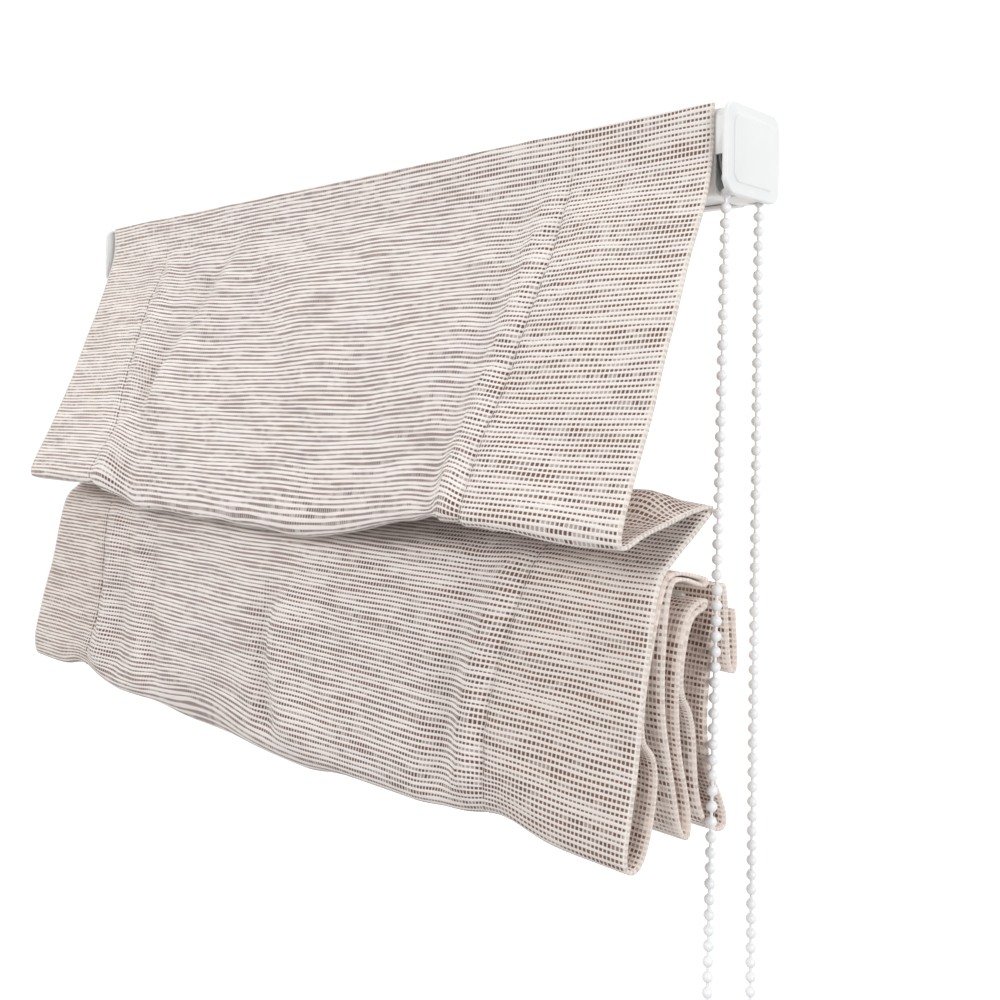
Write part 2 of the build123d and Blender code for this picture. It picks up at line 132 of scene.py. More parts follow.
class Finish:
    """A material that is built from sums of sockets."""

    def __init__(self, name, colour, roughness, metallic=0.0):
        self.material = bpy.data.materials.new(name)
        self.material.use_nodes = True
        self.tree = self.material.node_tree
        self.shader = self.tree.nodes["Principled BSDF"]
        self.shader.inputs["Base Color"].default_value = (*colour, 1.0)
        self.shader.inputs["Roughness"].default_value = roughness
        self.shader.inputs["Metallic"].default_value = metallic

    def node(self, kind, settings=None, values=None, out=0):
        """Adds a node, sets its settings first and then its sockets' values or links."""
        made = self.tree.nodes.new(kind)
        for name, setting in (settings or {}).items():
            setattr(made, name, setting)
        for key, value in (values or {}).items():
            socket = made.inputs[key]
            if isinstance(value, Value):
                self.tree.links.new(value.link, socket)
            else:
                socket.default_value = value
        return Value(self, made.outputs[out])

    def place(self, scale=1.0):
        """Object coordinates times scale."""
        spot = self.node("ShaderNodeTexCoord", out=3)
        values = {0: spot, "Scale": scale}
        return self.node("ShaderNodeVectorMath", {"operation": "SCALE"}, values)

    def split(self, vector):
        """The three parts of a vector."""
        made = self.tree.nodes.new("ShaderNodeSeparateXYZ")
        self.tree.links.new(vector.link, made.inputs[0])
        return [Value(self, output) for output in made.outputs]

    def join(self, x, y, z=0.0):
        return self.node("ShaderNodeCombineXYZ", None, {0: x, 1: y, 2: z})

    def grain(self, vector, scale, detail=2.0, roughness=0.5):
        """Soft noise from about 0.3 to 0.7."""
        values = {"Vector": vector, "Scale": scale, "Detail": detail, "Roughness": roughness}
        return self.node("ShaderNodeTexNoise", None, values)

    def mix(self, factor, first, second):
        """Colour between first and second."""
        made = self.tree.nodes.new("ShaderNodeMix")
        made.data_type = "RGBA"
        for key, value in ((0, factor), (6, first), (7, second)):
            if isinstance(value, Value):
                self.tree.links.new(value.link, made.inputs[key])
            elif key == 0:
                made.inputs[key].default_value = value
            else:
                made.inputs[key].default_value = (*value, 1.0)
        return Value(self, made.outputs[2])

    def feed(self, socket, value):
        """Links a value to a socket of the shader."""
        self.tree.links.new(value.link, self.shader.inputs[socket])

    def bump(self, height, distance, strength=1.0):
        values = {"Height": height, "Distance": distance, "Strength": strength}
        self.feed("Normal", self.node("ShaderNodeBump", None, values))


def moulded(name, colour, roughness, speckle=0.03):
    """Moulded plastic: faint flow marks in its gloss, a fine satin grain and light scuffs."""
    finish = Finish(name, colour, roughness)
    spot = finish.place(1000.0)
    flow = finish.grain(spot, 0.05, 3.0)
    fine = finish.grain(spot, 2.2, 2.0)
    scuff = finish.grain(spot, 0.35, 4.0, 0.7).ramp(0.58, 0.72)
    shade = tuple(part * 0.955 for part in colour)
    finish.feed("Base Color", finish.mix(flow.ramp(0.35, 0.7) * 0.6 + scuff * 0.25, colour, shade))
    finish.feed("Roughness", roughness + (flow - 0.5) * 0.12 + scuff * 0.1)
    finish.bump(fine + flow * 0.6, 0.0001, speckle * 4)
    return finish.material


def brushed(name, colour, roughness, stretch):
    """Drawn or plated metal with fine lines along its length."""
    finish = Finish(name, colour, roughness, 1.0)
    x, y, z = finish.split(finish.place(1000.0))
    lines = finish.grain(finish.join(x * stretch, y, z), 4.0, 3.0)
    cloud = finish.grain(finish.place(1000.0), 0.08, 2.0)
    shade = tuple(part * 0.86 for part in colour)
    finish.feed("Base Color", finish.mix(cloud.ramp(0.35, 0.7), colour, shade))
    finish.feed("Roughness", roughness + (lines - 0.5) * 0.22)
    finish.bump(lines, 0.00004, 0.5)
    return finish.material


def coated_rail(name):
    """White powder coat: satin, with the fine pebbled skin of such a coat."""
    colour = (0.88, 0.885, 0.89)
    finish = Finish(name, colour, 0.38)
    spot = finish.place(1000.0)
    pebble = finish.grain(spot, 1.3, 2.0)
    cloud = finish.grain(spot, 0.03, 2.0)
    finish.feed("Base Color", finish.mix(cloud.ramp(0.3, 0.75), colour, (0.84, 0.85, 0.86)))
    finish.feed("Roughness", 0.36 + pebble * 0.1)
    finish.bump(pebble, 0.00006, 0.45)
    return finish.material


def braided(name, colour, pitch):
    """Braided cord: two crossed sets of strands round its length."""
    finish = Finish(name, colour, 0.72)
    x, y, z = finish.split(finish.place(1.0 / (pitch * MM)))
    first = ((x + z + y).fraction() - 0.5).size()
    second = ((x - z + y).fraction() - 0.5).size()
    braid = first.sum("MINIMUM", second) * 2.0
    fuzz = finish.grain(finish.place(1000.0), 3.0, 3.0)
    # Painted shade: the colour darkens in the grooves between the strands, where the bump is lowest
    hollow_shade = tuple(part * 0.72 for part in colour)
    finish.feed("Base Color", finish.mix(braid.ramp(0.0, 0.55), hollow_shade, colour))
    finish.feed("Roughness", 0.62 + fuzz * 0.2)
    finish.bump(braid + fuzz * 0.3, 0.0002, 0.8)
    finish.shader.inputs["Sheen Weight"].default_value = 0.25
    return finish.material


def woven_band(name, colour, pitch):
    """Narrow woven tape with fine ribs across and along it."""
    finish = Finish(name, colour, 0.8)
    x, y, z = finish.split(finish.place(1.0 / (pitch * MM)))
    across = (x.fraction() - 0.5).size() * 2.0
    along = ((z + y * 0.6).fraction() - 0.5).size() * 2.0
    rib = across * 0.6 + along
    fuzz = finish.grain(finish.place(1000.0), 1.2, 3.0)
    # Painted shade: the colour darkens in the hollows between the ribs, where the bump is lowest
    hollow_shade = tuple(part * 0.78 for part in colour)
    finish.feed("Base Color", finish.mix(rib.ramp(0.15, 1.1) * 0.8 + fuzz * 0.2, hollow_shade, colour))
    finish.feed("Roughness", 0.74 + fuzz * 0.2)
    finish.bump(rib + fuzz * 0.4, 0.00025, 0.8)
    finish.shader.inputs["Sheen Weight"].default_value = 0.3
    return finish.material


def clear_ring(name):
    """Milky moulded ring plastic that lets a little light through."""
    finish = Finish(name, (0.9, 0.9, 0.87), 0.28)
    cloud = finish.grain(finish.place(1000.0), 0.8, 3.0)
    finish.feed("Base Color", finish.mix(cloud.ramp(0.3, 0.7), (0.92, 0.92, 0.9), (0.84, 0.84, 0.8)))
    finish.feed("Roughness", 0.22 + cloud * 0.15)
    finish.bump(cloud, 0.0001, 0.3)
    finish.shader.inputs["Subsurface Weight"].default_value = 0.2
    finish.shader.inputs["Subsurface Scale"].default_value = 0.003
    return finish.material


def glass_rod(name):
    """Pultruded glass fibre: pale green with fibre lines along the rod."""
    finish = Finish(name, (0.8, 0.83, 0.74), 0.35)
    x, y, z = finish.split(finish.place(1000.0))
    fibre = finish.grain(finish.join(x * 0.02, y, z), 5.0, 4.0)
    finish.feed("Base Color", finish.mix(fibre.ramp(0.3, 0.7), (0.72, 0.77, 0.66), (0.86, 0.88, 0.8)))
    finish.feed("Roughness", 0.28 + fibre * 0.2)
    finish.bump(fibre, 0.00005, 0.5)
    return finish.material


def loop_band(name, colour, tuft):
    """Hook-and-loop tape: small tufts in rows on a woven ground."""
    finish = Finish(name, colour, 0.85)
    spot = finish.place(1000.0)
    values = {"Vector": spot, "Scale": 1.0 / tuft, "Randomness": 0.55}
    cells = finish.node("ShaderNodeTexVoronoi", None, values)
    fuzz = finish.grain(spot, 2.5, 3.0)
    # Painted shade: the colour darkens between the tufts, where the bump is lowest
    hollow_shade = tuple(part * 0.7 for part in colour)
    finish.feed("Base Color", finish.mix(cells.ramp(0.1, 0.6), colour, hollow_shade))
    finish.feed("Roughness", 0.78 + fuzz * 0.18)
    finish.bump(fuzz - cells, 0.0004, 0.9)
    finish.shader.inputs["Sheen Weight"].default_value = 0.4
    return finish.material


def linen_weave(name, settings):
    """Off-white slub weave: pale weft rows with rows of small brown floats between.

    u runs across the cloth and v down the unfolded cloth, both in mm. The floats are deeper near
    the side edges. On the second pleat, deeper floats and darker yarn are painted shade, and so is the
    darker yarn between the rows and on the first pleat's return. In the stack behind it, the paler
    floats and the warm tone are painted light bounced between its layers.
    """
    finish = Finish(name, tuple(settings.yarn), 0.86)
    uv = finish.node("ShaderNodeUVMap", {"uv_map": "cloth"})
    u, v, _ = finish.split(uv)
    u = u * 1000.0
    v = v * 1000.0
    wander = finish.grain(finish.join(u * 0.012, v * 0.03), 1.0, 2.0)
    waver = finish.grain(finish.join(u * 0.05, v * 0.02), 1.0, 2.0)
    row = v / settings.row_pitch + (wander - 0.5) * 1.6
    end = u / settings.end_pitch + (waver - 0.5) * 0.8
    across_row = (row.fraction() - 0.5).size() * 2.0
    across_end = (end.fraction() - 0.5).size() * 2.0
    streak = finish.grain(finish.join(u * 0.05, row.floor() * 7.31), 1.0, 1.0)
    slub = finish.grain(finish.join(u * 0.028, row.floor() * 3.17, 40.0), 1.0, 2.0)
    nub = finish.grain(finish.join((end * 0.55).floor() * 3.7, row.floor() * 5.1), 0.9, 0.0)
    patch = finish.grain(finish.join(u * 0.025, v * 0.04), 1.0, 2.0)
    reverse = finish.node("ShaderNodeAttribute", {"attribute_name": "reverse"}, out=2)
    half = settings.width * 500.0
    rim = u.size().ramp(half - 2.4, half - 0.6)
    near_edge = u.size().ramp(half - 100.0, half - 40.0)
    # Painted shade on the second pleat: deeper floats, and darker yarn that is stronger near the side
    # edges
    painted_fold_shade = v.ramp(SECOND_TOP, SECOND_TOP + 24.0)
    # Painted light in the stack behind the second pleat: paler floats, and the warm back tone on both
    # sides, for warm light bounced between its layers. On the back of the cloth elsewhere, the warm
    # tone and bigger floats are partly its own and partly painted bounce light
    painted_stack_light = v.ramp(SECOND_BOTTOM, SECOND_BOTTOM + 10.0)
    inner = reverse * 0.6 + painted_stack_light * 0.4
    # Painted shade on the first pleat's return, on the back of the cloth: bigger floats, darker yarn
    # and less of the warm back tone
    past_return = v.ramp(SECOND_TOP - 2.0, SECOND_TOP + 8.0)
    painted_return_shade = reverse * v.ramp(FIRST_BOTTOM - 6.0, FIRST_BOTTOM + 6.0) * (1.0 - past_return)
    gap = (1.0 - across_row + inner * 0.08 + painted_return_shade * 0.12 + (0.5 - slub) * 1.2).ramp(0.4, 0.68)
    hole = (1.0 - across_end + inner * 0.06).ramp(0.24, 0.48)
    deep = streak.ramp(0.42, 0.6) * 0.45 + nub.ramp(0.38, 0.6) * 0.6 + near_edge * 0.12 + 0.38
    deep = deep + painted_fold_shade * 0.14 - painted_stack_light * 0.42
    shaded = (painted_fold_shade - painted_stack_light) * (near_edge * 0.3 + 0.08)
    dots = gap * hole * deep * (1.0 - rim * 0.75)
    thread = finish.grain(finish.join(u * 0.35, v * 2.6), 1.0, 2.0)
    pale = finish.mix(patch.ramp(0.4, 0.65) * 0.35, tuple(settings.yarn), tuple(settings.yarn_cool))
    pale = finish.mix(thread.ramp(0.5, 0.75) * 0.35, pale, tuple(settings.yarn_shade))
    # Painted shade: the pale yarn darkens in the hollows between the weft rows, on the first pleat's
    # return and on the second pleat's front
    pale = finish.mix(gap * 0.55 + painted_return_shade * 0.45 + shaded, pale, tuple(settings.yarn_shade))
    pale = finish.mix(rim * 0.8 + near_edge * 0.35, pale, tuple(settings.rim))
    pale = finish.mix(inner.ramp(0.0, 0.75) * (0.8 - painted_return_shade * 0.45), pale, tuple(settings.reverse))
    warm = streak.ramp(0.48, 0.64) * 0.6 + near_edge * 0.4 + inner * 0.4
    float_tone = finish.mix(warm, tuple(settings.float_dark), tuple(settings.float_warm))
    finish.feed("Base Color", finish.mix(dots, pale, float_tone))
    finish.feed("Roughness", 0.78 + dots * 0.15)
    yarn = across_row.ramp(0.0, 1.0) + across_end * 0.45
    finish.bump(yarn + slub * 0.6 - gap * hole * 0.4, 0.0003, settings.weave_relief)
    finish.shader.inputs["Sheen Weight"].default_value = 0.12
    finish.shader.inputs["Sheen Roughness"].default_value = 0.5
    return finish.material


def mesh_piece(name, verts, faces, material):
    """New smooth object from lists of corners in metres and faces."""
    mesh = bpy.data.meshes.new(name)
    mesh.from_pydata([tuple(v) for v in verts], [], faces)
    mesh.materials.append(material)
    mesh.update()
    piece = bpy.data.objects.new(name, mesh)
    bpy.context.scene.collection.objects.link(piece)
    for polygon in mesh.polygons:
        polygon.use_smooth = True
    return piece


def softened_copy(node, name, material, edge=0.0003, angle=32.0, segments=2):
    """A merged copy of a solid with small rounds on its sharp edges."""
    source = nodes[node]
    mesh = source.data.copy()
    mesh.name = name
    mesh.materials.clear()
    mesh.materials.append(material)
    shell = bmesh.new()
    shell.from_mesh(mesh)
    bmesh.ops.remove_doubles(shell, verts=shell.verts, dist=2e-6)
    bmesh.ops.dissolve_limit(
        shell, angle_limit=radians(1.2), verts=shell.verts, edges=shell.edges
    )
    for face in shell.faces:
        face.smooth = True
        face.material_index = 0
    shell.to_mesh(mesh)
    shell.free()
    piece = bpy.data.objects.new(name, mesh)
    bpy.context.scene.collection.objects.link(piece)
    round_off = piece.modifiers.new("edges", "BEVEL")
    round_off.width = edge
    round_off.segments = segments
    round_off.limit_method = "ANGLE"
    round_off.angle_limit = radians(angle)
    round_off.use_clamp_overlap = True
    plain(piece)
    piece.data.set_sharp_from_angle(angle=radians(angle))
    return piece


def plain(piece):
    """Applies what the modifiers make and removes them."""
    graph = bpy.context.evaluated_depsgraph_get()
    mesh = bpy.data.meshes.new_from_object(piece.evaluated_get(graph))
    name = piece.name
    old = piece.data
    if piece.type == "MESH":
        piece.modifiers.clear()
        piece.data = mesh
        result = piece
    else:
        bpy.data.objects.remove(piece)
        result = bpy.data.objects.new(name, mesh)
        bpy.context.scene.collection.objects.link(result)
    if old.users == 0:
        (bpy.data.meshes if isinstance(old, bpy.types.Mesh) else bpy.data.curves).remove(old)
    mesh.name = name
    return result


def length_setting(name, description, default):
    return bpy.props.FloatProperty(
        name=name, description=description, default=default, unit="LENGTH"
    )


def number_setting(name, description, default):
    return bpy.props.FloatProperty(name=name, description=description, default=default)


def tone_setting(name, description, default):
    return bpy.props.FloatVectorProperty(
        name=name, description=description, subtype="COLOR", default=default
    )


class CordSettings(bpy.types.PropertyGroup):
    bead: length_setting("Bead", "Diameter of one chain bead", 0.0045)
    link: length_setting("Link", "Thickness of the link between beads", 0.0015)
    count: bpy.props.IntProperty(name="Beads", description="Beads in the loop", default=156)
    lift_cord: length_setting("Lift cord", "Thickness of a lift cord", 0.0014)


class ClothSettings(bpy.types.PropertyGroup):
    width: length_setting("Width", "Width of the cloth", 0.483)
    thickness: length_setting("Thickness", "Thickness of one layer", 0.0008)
    hem: length_setting("Side hem", "Width of the side hems", 0.0685)
    row_pitch: number_setting("Row pitch", "Distance between weft rows in millimetres", 2.25)
    end_pitch: number_setting("End pitch", "Distance between warp ends in millimetres", 1.85)
    weave_relief: number_setting("Relief", "How strongly the weave shows", 0.6)
    yarn: tone_setting("Yarn", "Pale yarn", (0.95, 0.875, 0.84))
    yarn_cool: tone_setting("Cool yarn", "Cooler patches", (0.9, 0.855, 0.845))
    yarn_shade: tone_setting("Between rows", "Yarn between rows", (0.66, 0.55, 0.505))
    rim: tone_setting("Edge", "Cream tone at the side edges", (0.93, 0.86, 0.79))
    reverse: tone_setting("Reverse", "Warmer tone of the back", (0.94, 0.8, 0.715))
    float_dark: tone_setting("Floats", "Brown floats", (0.115, 0.072, 0.06))
    float_warm: tone_setting("Warm floats", "Warmer brown floats", (0.2, 0.105, 0.075))


class StageSettings(bpy.types.PropertyGroup):
    floor_drop: length_setting("Floor", "How far below the brackets the floor is", 1.1)
    key_power: number_setting("Key", "Power of the main lamp", 12.5)
    fill_power: number_setting("Fill", "Power of the side lamp", 11.5)
    sky: number_setting("Sky", "Light from all round", 0.4)


# Cloth route at the side edge in mm (y, z), and how far it moves in the middle of the width
ROUTE = [
    ((-17.8, -0.4), (0.0, 0.0)),
    ((-17.8, -23.0), (0.0, 0.0)),
    ((-26.0, -43.0), (1.0, 0.0)),
    ((-42.0, -84.0), (3.0, -2.0)),
    ((-57.0, -124.0), (6.0, -5.0)),
    ((-72.0, -157.0), (11.0, -8.0)),
    ((-76.0, -167.0), (12.5, -13.0)),
    ((-71.5, -170.2), (11.0, -15.5)),
    ((-60.0, -168.3), (6.5, -13.0)),
    ((-40.0, -163.0), (3.0, -7.0)),
    ((-19.0, -158.6), (0.0, 0.0)),
    ((-18.4, -160.8), (0.0, 0.0)),
    ((-44.5, -178.6), (0.0, -2.0)),
    ((-52.0, -186.0), (0.5, -1.0)),
    ((-60.0, -221.0), (0.0, 0.0)),
    ((-65.0, -250.0), (0.0, 0.0)),
    ((-70.6, -281.5), (0.5, -1.5)),
    ((-68.8, -288.2), (0.5, -2.0)),
    ((-60.6, -288.0), (0.0, -2.0)),
    ((-55.8, -265.0), (0.0, 0.0)),
    ((-57.2, -246.0), (0.0, 0.0)),
    ((-51.0, -215.0), (0.0, 0.0)),
    ((-47.4, -186.0), (0.0, 0.0)),
    ((-43.0, -180.6), (0.0, 0.0)),
    ((-20.0, -186.6), (0.0, 0.0)),
    ((-18.4, -188.4), (0.0, 0.0)),
    ((-20.2, -190.2), (0.0, 0.0)),
    ((-36.0, -189.6), (0.0, 0.0)),
    ((-41.6, -194.0), (0.0, 0.0)),
    ((-43.0, -229.0), (0.0, 0.0)),
    ((-47.0, -258.0), (0.0, -2.0)),
    ((-46.0, -280.0), (-1.0, -7.0)),
    ((-36.0, -284.6), (-3.0, -9.0)),
    ((-34.0, -273.0), (0.0, -3.0)),
    ((-38.0, -250.0), (0.0, 0.0)),
    ((-36.4, -215.0), (0.0, 0.0)),
    ((-32.6, -198.4), (0.0, 0.0)),
    ((-20.0, -194.8), (0.0, 0.0)),
    ((-18.4, -196.6), (0.0, 0.0)),
    ((-20.0, -198.6), (0.0, 0.0)),
    ((-26.0, -202.0), (0.0, 0.0)),
    ((-29.0, -218.0), (0.0, 0.0)),
    ((-28.4, -250.0), (0.0, 0.0)),
    ((-27.0, -274.0), (0.0, 0.0)),
    ((-19.0, -283.0), (0.0, 0.0)),
    ((-8.0, -288.8), (0.0, 0.0)),
    ((-2.6, -287.0), (0.0, 0.0)),
    ((-5.6, -278.0), (0.0, 0.0)),
    ((-15.0, -264.0), (0.0, 0.0)),
    ((-19.4, -246.0), (0.0, 0.0)),
    ((-17.0, -222.0), (0.0, 0.0)),
    ((-9.8, -204.0), (0.0, 0.0)),
    ((-9.8, -192.6), (0.0, 0.0)),
    ((-7.4, -190.0), (0.0, 0.0)),
    ((-5.2, -192.6), (0.0, 0.0)),
    ((-4.0, -204.0), (0.0, 0.0)),
    ((-1.6, -225.0), (0.0, 0.0)),
    ((1.6, -227.6), (0.0, 0.0)),
    ((3.6, -224.4), (0.0, 0.0)),
    ((1.4, -201.5), (0.0, 0.0)),
]


# Moves of a few of the route's points in mm (y, z), each used over a part of the width
LONG_SAG = {16: (0.0, -2.5), 17: (0.0, -2.0), 18: (0.0, -2.0)}
OPEN_FRONT = {16: (2.0, 9.0), 17: (4.0, 5.0)}
OPEN_REAR = {17: (1.0, -2.5), 18: (4.0, -8.5), 19: (1.0, -5.0)}
LOOSE_ENDS = {
    6: (0.0, -1.2),
    7: (-1.5, -1.8),
    8: (0.0, 1.8),
    10: (1.2, 0.6),
    11: (1.0, -1.6),
    18: (1.0, 0.2),
    19: (3.3, -4.0),
    20: (6.2, -4.0),
    21: (-13.0, -25.0),
    22: (-2.1, -2.0),
    23: (0.0, -0.9),
    27: (0.0, 5.0),
    28: (-3.9, 7.5),
    29: (-6.0, -3.0),
    30: (6.0, -3.0),
    31: (10.5, -3.5),
    32: (7.0, -1.6),
    33: (4.5, 0.0),
    34: (0.5, 0.0),
    35: (-2.6, -5.0),
    40: (-5.0, 1.5),
    41: (-8.5, -10.0),
    42: (1.4, 11.0),
    43: (2.0, 6.0),
}


def smooth(low, high, value):
    """Goes softly from 0 at low to 1 at high."""
    share = min(1.0, max(0.0, (value - low) / (high - low)))
    return share * share * (3 - 2 * share)


def bell(value, middle, width):
    """1 at the middle, and soon 0 past the width."""
    return exp(-(((value - middle) / width) ** 2))


def cloth_rows(spacing=3.6, least=4):
    """Weights of the route's points for each row of the cloth, as a smooth curve."""
    corners = [0] + list(range(len(ROUTE))) + [len(ROUTE) - 1]
    rows = []
    for span in range(len(corners) - 2):
        first, middle, last = corners[span : span + 3]
        start, end = ROUTE[first][0], ROUTE[last][0]
        run = hypot((end[0] - start[0]) / 2, (end[1] - start[1]) / 2)
        steps = max(least, ceil(run / spacing))
        for step in range(steps):
            t = step / steps
            shares = ((1 - t) ** 2 / 2, (1 + 2 * t - 2 * t * t) / 2, t * t / 2)
            rows.append(tuple(zip((first, middle, last), shares)))
    rows.append(((len(ROUTE) - 1, 1.0),))
    return rows


def row_point(row, sag, moves=()):
    """Place of a row in a column with this much sag and these shares of the moves."""
    y = z = 0.0
    for index, share in row:
        place, slack = ROUTE[index]
        y += share * (place[0] + sag * slack[0])
        z += share * (place[1] + sag * slack[1])
        for table, amount in moves:
            if index in table:
                y += share * amount * table[index][0]
                z += share * amount * table[index][1]
    return y, z


def sag_at(x):
    """How much of the middle's sag a column of the cloth has."""
    return smooth(150, 38, x) * smooth(-178, -128, x)


def moves_at(x):
    """Shares of the route's moves that a column of the cloth has."""
    return (
        (LONG_SAG, smooth(152, 128, x) * smooth(-178, -128, x)),
        (OPEN_FRONT, bell(x, -48, 44)),
        (OPEN_REAR, smooth(-104, -64, x) * smooth(84, 41, x)),
        (LOOSE_ENDS, smooth(196, 232, x) + 0.6 * smooth(-196, -232, x)),
    )


def waves(x, along, size, seed):
    """Soft random waves of about this size in mm."""
    return noise.noise(Vector((x / size, along / (size * 1.25), seed)))


def seam_drift(along):
    """How far the side seam wanders along the width, in mm, on its way down."""
    upper = -2.5 - 11.5 * smooth(50, 155, along)
    lower = 7 - 13 * smooth(262, 340, along) + 4 * smooth(345, 372, along)
    return upper + (lower - upper) * smooth(200, 250, along)


def creases(x, along):
    """How far the cloth stands forward of its route, in mm, at a place on the unfolded cloth."""
    # Shares of the upper part and of the second pleat, which have creases, at this place
    free = smooth(8, 44, along) * (1 - smooth(188, 222, along))
    lower = smooth(262, 292, along) * (1 - smooth(366, 380, along))
    # Soft waves, large and small, and slanting ones
    height = (3.0 * waves(x, along, 92, 3.1) + 1.1 * waves(x, along, 36, 8.7)) * free
    height += (2.6 * waves(x, along, 70, 21.0) + 1.3 * waves(x, along, 30, 14.2)) * lower
    slant = waves(x - 0.9 * along, along * 0.25, 30, 33.0)
    height += 1.5 * slant * free + 1.0 * slant * lower
    # Long slanting valley with a ridge beside it, left of the middle of the upper part
    valley = x + 100 + 0.6 * (along - 30)
    long_run = smooth(10, 50, along) * (1 - smooth(120, 180, along))
    height += (3.4 * bell(valley, 22, 15) - 5.0 * bell(valley, 0, 12)) * long_run
    # Beside each seam: puckers, the seam's groove, then a ridge and a valley further in
    for side in (-1, 1):
        seam = side * x - SEAM
        beat = waves(along, side * 40.0, 42, 2.0)
        pucker = sin(2 * pi * (along + 1.1 * seam) / 16.5 + 3.0 * beat)
        strength = 0.45 + 1.1 * abs(waves(along, side * 90.0, 30, 5.0))
        held = free + lower
        height += 0.8 * pucker * strength * (bell(seam, -13, 10) + 0.6 * bell(seam, 10, 10)) * held
        height -= 1.1 * bell(seam, -1.2, 1.9) * held
        height += (2.2 * free + 3.4 * lower) * bell(seam, -12, 6.5)
        height -= (1.9 * free + 3.6 * lower) * bell(seam, -30, 9.0)
    # Crooked bend low in the middle of the second pleat
    bend = x - 12 + 8 * sin((along - 296) / 20.0)
    run = smooth(292, 322, along) * (1 - smooth(366, 380, along))
    height += (2.8 * bell(bend, 17, 11) - 4.4 * bell(bend, 0, 8)) * run
    # Gather near the left seam of the second pleat
    gather = x + 118 - 0.3 * (along - 300)
    height += (2.2 * bell(gather, -14, 10) - 3.6 * bell(gather, 0, 9)) * lower
    return height


def cloth_columns(width, spacing=4.4, fine=1.5, reach=9.0):
    """Places of the columns across the cloth in mm, closer together at the side seams."""
    half = width / 2
    stops = [-half, -SEAM - reach, -SEAM + reach, SEAM - reach, SEAM + reach, half]
    columns = []
    for number, (low, high) in enumerate(zip(stops, stops[1:])):
        steps = ceil((high - low) / (fine if number in (1, 3) else spacing))
        columns.extend(low + (high - low) * step / steps for step in range(steps))
    return columns + [half]


def cloth_grid(width):
    """Middle surface of the cloth: rows of points, and the distance along it of each row."""
    rows = cloth_rows()
    edge_line = [row_point(row, 0.0) for row in rows]
    along = [0.0]
    for before, after in zip(edge_line, edge_line[1:]):
        along.append(along[-1] + hypot(after[0] - before[0], after[1] - before[1]))
    xs = cloth_columns(width)
    points = np.zeros((len(rows), len(xs), 3))
    for column, x in enumerate(xs):
        sag = sag_at(x)
        moves = moves_at(x)
        line = np.array([row_point(row, sag, moves) for row in rows])
        ahead = np.gradient(line, axis=0)
        normal = np.stack([ahead[:, 1], -ahead[:, 0]], axis=1)
        normal /= np.maximum(np.linalg.norm(normal, axis=1, keepdims=True), 1e-9)
        # Shares of this column: beside the seam, outside it, between the hems, and the outer edge
        pinch = bell(abs(x), 160, 9)
        rise = bell(abs(x), 181, 17)
        arch = smooth(243, 225, x) * smooth(-243, -225, x)
        tip = smooth(229, 238, abs(x))
        for index, (y, z) in enumerate(line):
            place = along[index]
            forward = creases(x, place)
            # The first pleat's bottom, the second pleat's bottom and the return's back rise there
            lift = 3.6 * pinch * bell(place, 166, 20) + 5.0 * rise * bell(place, 384, 17)
            lift += 8.6 * arch * bell(place, 218, 12)
            side = seam_drift(place) * bell(abs(x), SEAM, 34) * (1 if x > 0 else -1)
            points[index, column] = (
                x + side * (1 - smooth(390, 420, place)),
                y + normal[index, 0] * forward + 2.6 * tip * bell(place, 233, 5),
                z + normal[index, 1] * forward + lift,
            )
    return points * MM, [place * MM for place in along], [x * MM for x in xs]


def cloth_mesh(points, along, xs, thickness, hem):
    """Closed sheet with a face on each side of the middle surface and thicker side hems."""
    rows, columns = points.shape[:2]
    down = np.gradient(points, axis=0)
    across = np.gradient(points, axis=1)
    normal = np.cross(down, across)
    normal /= np.maximum(np.linalg.norm(normal, axis=2, keepdims=True), 1e-12)
    half = np.array([thickness / 2 * (1 + 0.75 * smooth(0, 0.0025, abs(x) - xs[-1] + hem)) for x in xs])
    verts = []
    for side in (1, -1):
        verts.extend((points + side * normal * half[None, :, None]).reshape(-1, 3).tolist())
    back = rows * columns
    front = points + normal * half[None, :, None]
    faces = []
    uvs = []

    def uv(index):
        row, column = divmod(index % back, columns)
        return (xs[column], along[row])

    def add(corners):
        faces.append(corners)
        uvs.extend(uv(corner) for corner in corners)

    for row in range(rows - 1):
        for column in range(columns - 1):
            a = row * columns + column
            quad = (a, a + 1, a + columns + 1, a + columns)
            add(quad)
            add(tuple(back + corner for corner in reversed(quad)))
    for row in range(rows - 1):
        for column, flip in ((0, True), (columns - 1, False)):
            a = row * columns + column
            b = a + columns
            strip = (a, b, back + b, back + a)
            add(tuple(reversed(strip)) if not flip else strip)
    for column in range(columns - 1):
        for row, flip in ((0, False), (rows - 1, True)):
            a = row * columns + column
            strip = (a, a + 1, back + a + 1, back + a)
            add(tuple(reversed(strip)) if flip else strip)
    return verts, faces, uvs, front, back


def finish_tree(tree, geometry, finish):
    """Ends a tree: real geometry with its material."""
    real = add_node(tree, "GeometryNodeRealizeInstances", None, {"Geometry": geometry})
    values = {"Geometry": real.outputs[0], "Material": finish}
    dressed = add_node(tree, "GeometryNodeSetMaterial", None, values)
    end = tree.nodes.new("NodeGroupOutput")
    tree.links.new(dressed.outputs[0], end.inputs[0])
    return tree


